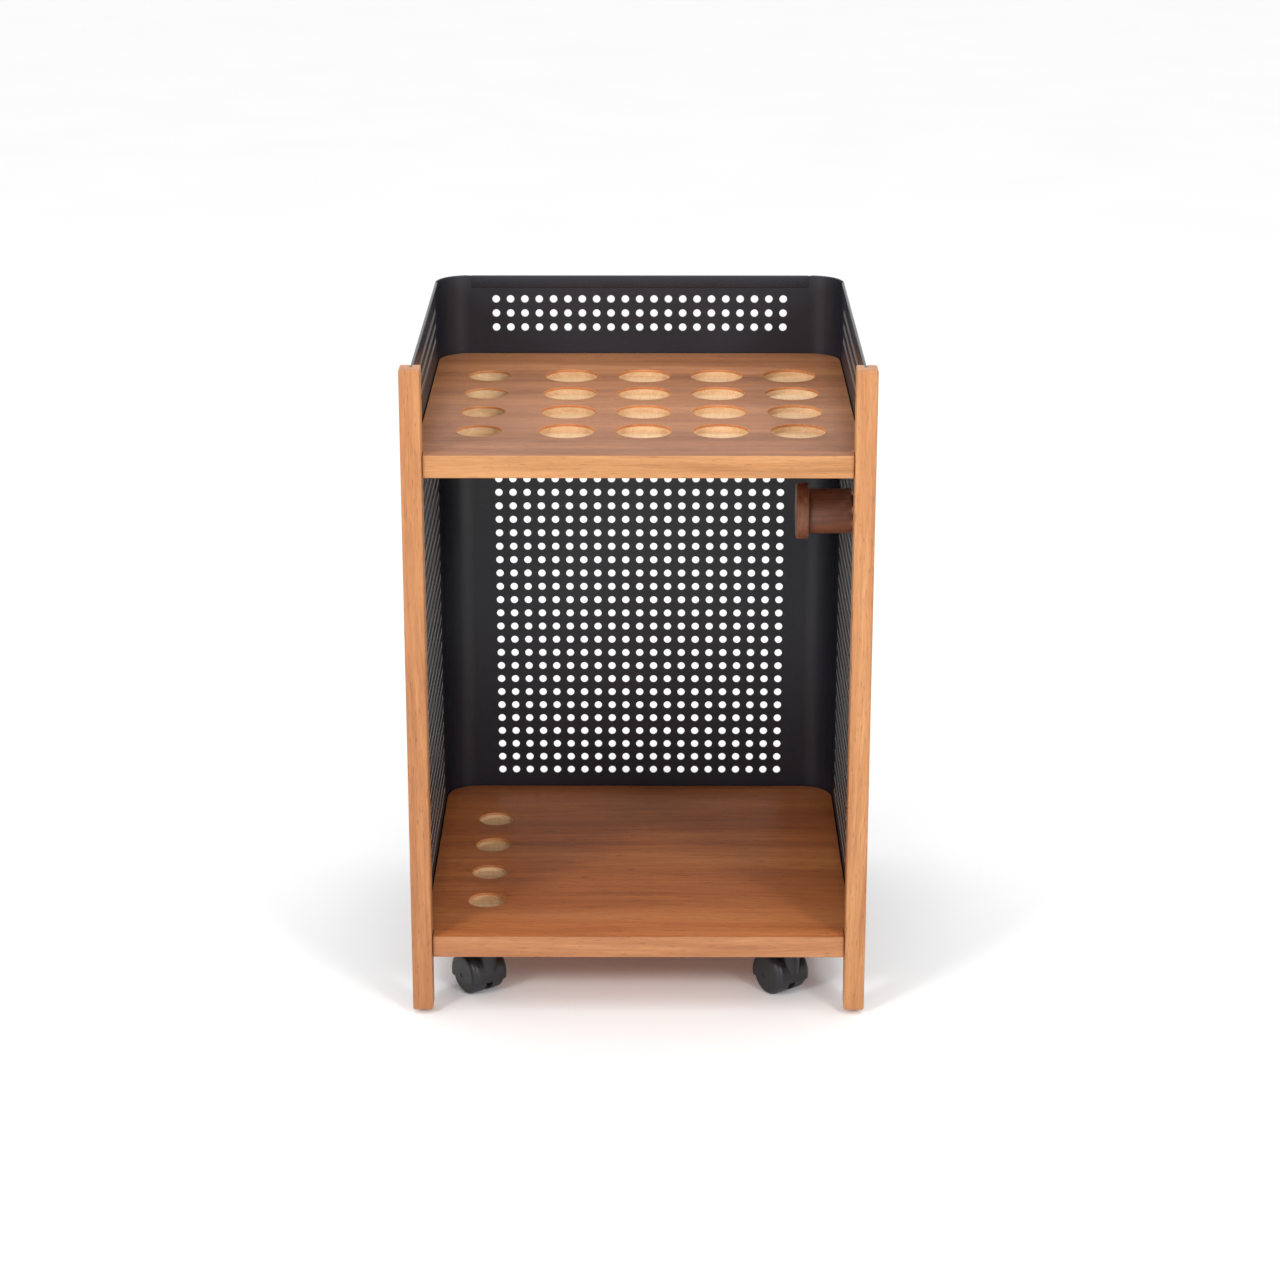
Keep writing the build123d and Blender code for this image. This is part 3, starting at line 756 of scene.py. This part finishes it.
def make_post(node, piece_name):
    low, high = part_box(node)
    side = 1 if low.x > 0 else -1
    outer, inner = half_width, half_width - sheet
    groove = sorted((side * outer, side * inner))
    corners = [
        ((low.x, low.y), POST_EASING),
        ((high.x, low.y), POST_EASING),
        ((high.x, high.y), POST_EASING),
        ((groove[1], high.y), GROOVE_CORNER),
        ((groove[1], front_edge_y), 0),
        ((groove[0], front_edge_y), 0),
        ((groove[0], high.y), GROOVE_CORNER),
        ((low.x, high.y), POST_EASING),
    ]
    board = board_mesh(corners, low.z, high.z, POST_EASING)
    obj = mesh_object(piece_name, board.vertices, board.faces, [post_wood], weld=WELD_DISTANCE)
    place_piece(obj, "cart", "stained_wood", node)


make_post("left_post", "left_front_post")
make_post("right_post", "right_front_post")


# Hanging peg, turned on a lathe


def lathe(name, profile, start, centre, material):
    """Turns a profile of (distance along -X, radius) points about the peg's axis."""
    vertices = []
    faces = []
    for along, radius in profile:
        for k in range(CIRCLE_SIDES):
            angle = 2 * math.pi * k / CIRCLE_SIDES
            y = centre.y + radius * math.cos(angle)
            z = centre.z + radius * math.sin(angle)
            vertices.append((start - along, y, z))
    for r in range(len(profile) - 1):
        for k in range(CIRCLE_SIDES):
            a = r * CIRCLE_SIDES + k
            b = r * CIRCLE_SIDES + (k + 1) % CIRCLE_SIDES
            faces.append([a, a + CIRCLE_SIDES, b + CIRCLE_SIDES, b])
    faces.append(list(range(CIRCLE_SIDES)))
    last = (len(profile) - 1) * CIRCLE_SIDES
    faces.append(list(range(last, last + CIRCLE_SIDES))[::-1])
    return mesh_object(name, vertices, faces, [material])


def turned_profile(length, radius, easing):
    """A plain cylinder's profile with rounded ends."""
    arcs = [math.pi / 2 * k / EASING_STEPS for k in range(EASING_STEPS + 1)]
    near = [(easing * (1 - math.cos(a)), radius - easing * (1 - math.sin(a))) for a in arcs]
    far = [(length - easing * (1 - math.sin(a)), radius - easing * (1 - math.cos(a))) for a in arcs]
    return near + far


barrel_low, barrel_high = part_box("peg_barrel")
flange_low, flange_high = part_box("peg_flange")
peg_centre = (flange_low + flange_high) / 2
barrel_radius = (barrel_high.z - barrel_low.z) / 2
flange_radius = (flange_high.z - flange_low.z) / 2
barrel_length = barrel_high.x - flange_high.x
barrel_profile = turned_profile(barrel_length, barrel_radius, BARREL_EASING)
barrel = lathe("turned_barrel", barrel_profile, barrel_high.x, peg_centre, walnut_barrel)
flange_length = flange_high.x - flange_low.x
flange_profile = turned_profile(flange_length, flange_radius, FLANGE_EASING)
flange = lathe("turned_flange", flange_profile, flange_high.x, peg_centre, walnut_flange)
place_piece(barrel, "cart", "walnut", "peg_barrel")
place_piece(flange, "cart", "walnut", "peg_flange")


# CAD nodes that stay, with their finishes

finishes = {
    "black_steel": steel,
    "zinc_steel": zinc_steel,
    "black_plastic": hood_plastic,
    "wheel_plastic": wheel_plastic,
}
for subpart in record["subparts"]:
    finish = finishes.get(subpart["material_slot"])
    if finish is None:
        continue
    mesh = frame["nodes"][subpart["node"]].data
    mesh.materials.clear()
    mesh.materials.append(finish)


# Studio

floor_material = Graph("studio_floor")
floor_noise = floor_material.noise(floor_material.stretched((1, 1, 1)), 3.0, 3.0, 0.5)
floor_colour = floor_material.ramp(floor_noise, [(0.3, 0.93), (0.7, 0.95)])
floor_material.shader.inputs["Roughness"].default_value = 0.7
floor_material.link(floor_colour, floor_material.shader.inputs["Base Color"])
FLOOR_HALF = 8.0
floor_corners = [(x * FLOOR_HALF, y * FLOOR_HALF, 0) for x, y in ((-1, -1), (1, -1), (1, 1), (-1, 1))]
floor = mesh_object("studio_floor", floor_corners, [[0, 1, 2, 3]], [floor_material.material])


def area_light(name, place, target, size, power):
    """A softbox: a rectangular light in watts that faces a target."""
    data = bpy.data.lights.new(name, "AREA")
    data.shape = "RECTANGLE"
    data.size, data.size_y = size
    data.energy = power
    light = bpy.data.objects.new(name, data)
    light.location = place
    light.rotation_euler = (Vector(target) - Vector(place)).to_track_quat("-Z", "Y").to_euler()
    bpy.context.scene.collection.objects.link(light)


area_light("overhead_softbox", (0.0, -0.5, 2.6), (0, 0, 0.3), (2.4, 2.0), 10)
area_light("left_softbox", (-1.9, -2.6, 1.8), (0, 0, 0.4), (0.6, 0.6), 38)
area_light("right_softbox", (1.7, -2.7, 1.8), (0, 0, 0.4), (0.6, 0.6), 31)

BACKDROP_STRENGTH = 1.02
world = bpy.data.worlds.new("studio")
bpy.context.scene.world = world
world.use_nodes = True
backdrop = world.node_tree.nodes["Background"]
backdrop.inputs["Color"].default_value = (1, 1, 1, 1)
backdrop.inputs["Strength"].default_value = BACKDROP_STRENGTH

# Camera: a long lens, raised in front of the open side and tilted down
CAMERA_LENS = 91
CAMERA_DISTANCE = 2.95
CAMERA_HEIGHT = 1.376
CAMERA_TARGET = (0.001, -0.02, 0.33)
camera_data = bpy.data.cameras.new("camera")
camera_data.sensor_width = 36
camera_data.lens = CAMERA_LENS
camera = bpy.data.objects.new("camera", camera_data)
bpy.context.scene.collection.objects.link(camera)
camera.location = (0.01, cad_box[0].y - CAMERA_DISTANCE, CAMERA_HEIGHT)
sight_line = Vector(CAMERA_TARGET) - camera.location
camera.rotation_euler = sight_line.to_track_quat("-Z", "Y").to_euler()
bpy.context.scene.camera = camera
bpy.context.scene.view_settings.view_transform = "Standard"
